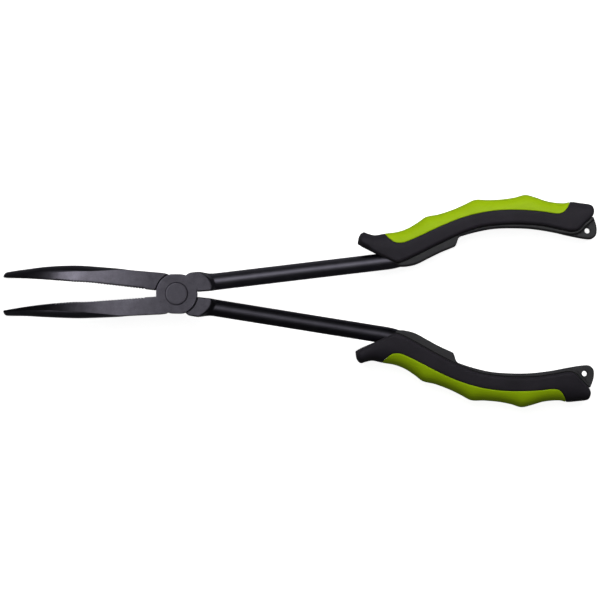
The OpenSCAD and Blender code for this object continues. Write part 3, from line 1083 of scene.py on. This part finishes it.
    def loft(self, part: str, ring: Callable[[float], np.ndarray], start: float,
             end: float) -> bpy.types.Object:
        """Lofts one part of the handle.

        Args:
            part: Name of the part.
            ring: Method that draws a section.
            start: First place.
            end: Last place.

        Returns:
            The part as one closed solid.
        """
        rings = np.array([ring(float(u)) for u in self.stations(start, end)])
        return solid(f"{self.side.value}_{part}_moulding", in_rod_frame(rings, self.side))

    def lanyard_hole(self) -> bpy.types.Object:
        """Makes the flared hole through the lug."""
        a = np.linspace(0, 2 * math.pi, 64, endpoint=False)
        t, r, f = self.lug_t, self.hole_r, self.hole_flare
        levels = [(r + f + 1, -t - 1), (r + f, -t), (r, -t + f), (r, t - f), (r + f, t),
                  (r + f + 1, t + 1)]
        rings = [np.stack([self.hole_at[0] + d * np.cos(a), self.hole_at[1] + d * np.sin(a),
                           np.full(len(a), z)], 1) for d, z in levels]
        return solid("hole", in_rod_frame(np.array(rings), self.side))

    def build(self) -> dict[str, bpy.types.Object]:
        """Makes the three parts.

        Returns:
            The parts by name.
        """
        start, end = self.ends
        core = self.loft("core", self.core_ring, self.core_start, end)
        combine(core, self.lanyard_hole(), Solid.CUT)
        return {
            "core": core,
            "shell": self.loft("shell", self.shell_ring, start, end),
            "insert": self.loft("insert", self.insert_ring, *self.insert_ends),
        }

    def dress(self, parts: dict[str, bpy.types.Object],
              finishes: dict[str, bpy.types.Material]) -> None:
        """Gives each part its finish and its place in the frame.

        Args:
            parts: Parts by name.
            finishes: Materials by part.
        """
        for name, piece in parts.items():
            piece.data.materials.clear()
            piece.data.materials.append(finishes[name])
            shade(piece, self.crease)
            hand_over(piece, self.side.body, f"{self.side.value}_{name}")


# ---------------- studio


@dataclass
class Studio:
    """Floor, lights and camera.

    Attributes:
        centre: Point that the camera looks at, in metres.
        distance: From that point to the camera.
        elevation: Angle of the camera above the floor, in degrees.
        roll: Turn of the camera about its view, in degrees.
        field: Width that the picture shows at the centre.
        patch_at: Direction of the soft patch of light that the gloss shows, with patch_sharp
            for how fast it fades and patch_light for its strength.
        room_gloss: Light that the gloss shows from everywhere.
        bounce_from: Direction of the faint light thrown back by the paper, of strength bounce.
        room_light: Light that falls on the tool from everywhere.
        floor_slope: Tilt of the floor in degrees, which rests under nose tips and handles.
    """

    centre: Vector = field(default_factory=lambda: Vector((0.0582, -0.0018, 0.01)))
    distance: float = 2.4
    elevation: float = 88.5
    roll: float = 1.16
    field: float = 0.2826
    patch_at: tuple[float, float, float] = (-0.32, 0.2, 1.0)
    patch_sharp: float = 16.0
    patch_light: float = 0.9
    room_gloss: float = 0.015
    bounce_from: tuple[float, float, float] = (0.0, 0.5, -0.85)
    bounce: float = 0.09
    room_light: float = 0.115
    sensor: float = 36.0
    floor_half: float = 2.5
    floor_slope: float = 1.75
    floor_gap: float = 0.0002
    nose_x: float = -0.0815

    def camera(self) -> None:
        """Stands the camera over the tool."""
        data = bpy.data.cameras.new("camera")
        data.sensor_width = self.sensor
        data.lens = self.sensor * self.distance / self.field
        data.clip_start, data.clip_end = 0.05, 20.0
        eye = bpy.data.objects.new("camera", data)
        bpy.context.scene.collection.objects.link(eye)
        e = math.radians(self.elevation)
        back = Vector((0, -math.cos(e), math.sin(e)))
        spin = Matrix.Rotation(math.radians(self.roll), 3, "Z")
        back = spin @ back
        right = spin @ Vector((1, 0, 0))
        up = back.cross(right)
        facing = Matrix((right, up, back)).transposed().to_4x4()
        eye.matrix_world = Matrix.Translation(self.centre + back * self.distance) @ facing
        bpy.context.scene.camera = eye

    def floor(self) -> None:
        """Lays the pale floor under the nose tips and the handles."""
        mesh = bpy.data.meshes.new("floor")
        half, slope = self.floor_half, math.radians(self.floor_slope)
        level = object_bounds()[0].z - self.floor_gap
        square = [(-half, -half), (half, -half), (half, half), (-half, half)]
        mesh.from_pydata(
            [(x, y, level + (x - self.nose_x) * math.tan(slope)) for x, y in square], [],
            [(0, 1, 2, 3)],
        )
        floor = bpy.data.objects.new("floor", mesh)
        bpy.context.scene.collection.objects.link(floor)
        material = bpy.data.materials.new("pale_paper_floor")
        material.use_nodes = True
        shader = material.node_tree.nodes["Principled BSDF"]
        shader.inputs["Base Color"].default_value = linear("#d8d8d8")
        shader.inputs["Roughness"].default_value = 0.9
        shader.inputs["Specular IOR Level"].default_value = 0.0
        shader.inputs["Emission Color"].default_value = linear("#ffffff")
        shader.inputs["Emission Strength"].default_value = 0.9
        mesh.materials.append(material)
        floor.visible_glossy = False
        floor.visible_diffuse = False
        floor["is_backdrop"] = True

    def softbox(self, name: str, at: tuple[float, float, float], size: tuple[float, float],
                watts: float) -> None:
        """Hangs one soft rectangular light that faces the tool.

        Args:
            name: Name of the light.
            at: Its place, in metres from the point that the camera looks at.
            size: Its width and depth, in metres.
            watts: Its power.
        """
        data = bpy.data.lights.new(name, "AREA")
        data.shape = "RECTANGLE"
        data.size, data.size_y = size
        data.energy = watts
        light = bpy.data.objects.new(name, data)
        bpy.context.scene.collection.objects.link(light)
        light.location = self.centre + Vector(at)
        light.rotation_euler = (-Vector(at)).to_track_quat("-Z", "Y").to_euler()
        light.visible_camera = False
        light.visible_glossy = False

    def sky(self) -> None:
        """Sets a dim room with one broad soft patch of light overhead, seen in the gloss only.

        Behind the floor the room shows as white.
        """
        world = bpy.data.worlds.new("room")
        bpy.context.scene.world = world
        world.use_nodes = True
        tree = world.node_tree
        tree.nodes.clear()
        seen = add(tree, "LightPath").outputs
        toward = Vector(self.patch_at).normalized()
        way = add(tree, "TexCoord").outputs["Generated"]
        near = add(tree, "VectorMath", {0: way, 1: tuple(toward)}, operation="DOT_PRODUCT")
        fall = add(tree, "Math", {0: near.outputs["Value"], 1: self.patch_sharp,
                                  2: -self.patch_sharp}, operation="MULTIPLY_ADD")
        glow = add(tree, "Math", {0: fall.outputs[0]}, operation="EXPONENT")
        under = add(tree, "VectorMath", {0: way, 1: self.bounce_from}, operation="DOT_PRODUCT")
        dull = add(tree, "Math", {0: under.outputs["Value"], 1: 0.0}, operation="MAXIMUM")
        low = add(tree, "Math", {0: dull.outputs[0], 1: self.bounce, 2: self.room_gloss},
                  operation="MULTIPLY_ADD")
        lit = add(tree, "Math", {0: glow.outputs[0], 1: self.patch_light, 2: low.outputs[0]},
                  operation="MULTIPLY_ADD")
        gloss = add(tree, "Background", {"Strength": lit.outputs[0]})
        dim = add(tree, "Background", {"Strength": self.room_light})
        white = add(tree, "Background", {"Strength": 1.0})
        for light in (gloss, dim, white):
            light.inputs["Color"].default_value = linear("#ffffff")
        room = add(tree, "MixShader", {0: seen["Is Glossy Ray"], 1: dim.outputs[0],
                                       2: gloss.outputs[0]})
        both = add(tree, "MixShader", {0: seen["Is Camera Ray"], 1: room.outputs[0],
                                       2: white.outputs[0]})
        add(tree, "OutputWorld", {"Surface": both.outputs[0]})

    def build(self) -> None:
        """Sets the whole stage."""
        bpy.context.scene.view_settings.view_transform = "Standard"
        self.camera()
        self.floor()
        self.sky()
        self.softbox("strip", (0.05, 0.19, 0.2), (0.5, 0.1), 0.74)
        self.softbox("overhead", (-0.1, 0.3, 0.8), (0.5, 0.5), 1.5)
        log.info("studio: camera %.2f m away", self.distance)


def main() -> None:
    """Builds the tool, piece by piece, and its stage."""
    logging.basicConfig(level=logging.INFO, format="%(name)s: %(message)s")
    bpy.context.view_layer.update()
    # Each jaw's flats get painted highlight and painted shade along X.
    flats = {Side.UPPER: replace(GROUND_STEEL, along=FRONT_PAINTED_LIGHT).make(),
             Side.LOWER: replace(GROUND_STEEL, name="ground_oxide_steel_painted_light",
                                 along=REAR_PAINTED_LIGHT).make()}
    # The rear lever's forged finish is a painted-shade copy, darker than the front one.
    forged = {Side.UPPER: FRONT_FORGED.make(), Side.LOWER: SHADED_REAR_FORGED.make()}
    finishes = {"core": BLACK_NYLON.make(), "shell": BLACK_RUBBER.make(),
                "insert": LIME_RUBBER.make()}
    joint = Joint()
    for side in Side:
        lever = Lever(side, joint)
        lever.dress(lever.build(), flats[side], forged[side])
        handle = Handle(side)
        handle.dress(handle.build(), finishes)
    rivet = Rivet(joint)
    rivet.dress(rivet.build(), TURNED_STEEL.make())
    Studio().build()


if __name__ == "__main__":
    main()
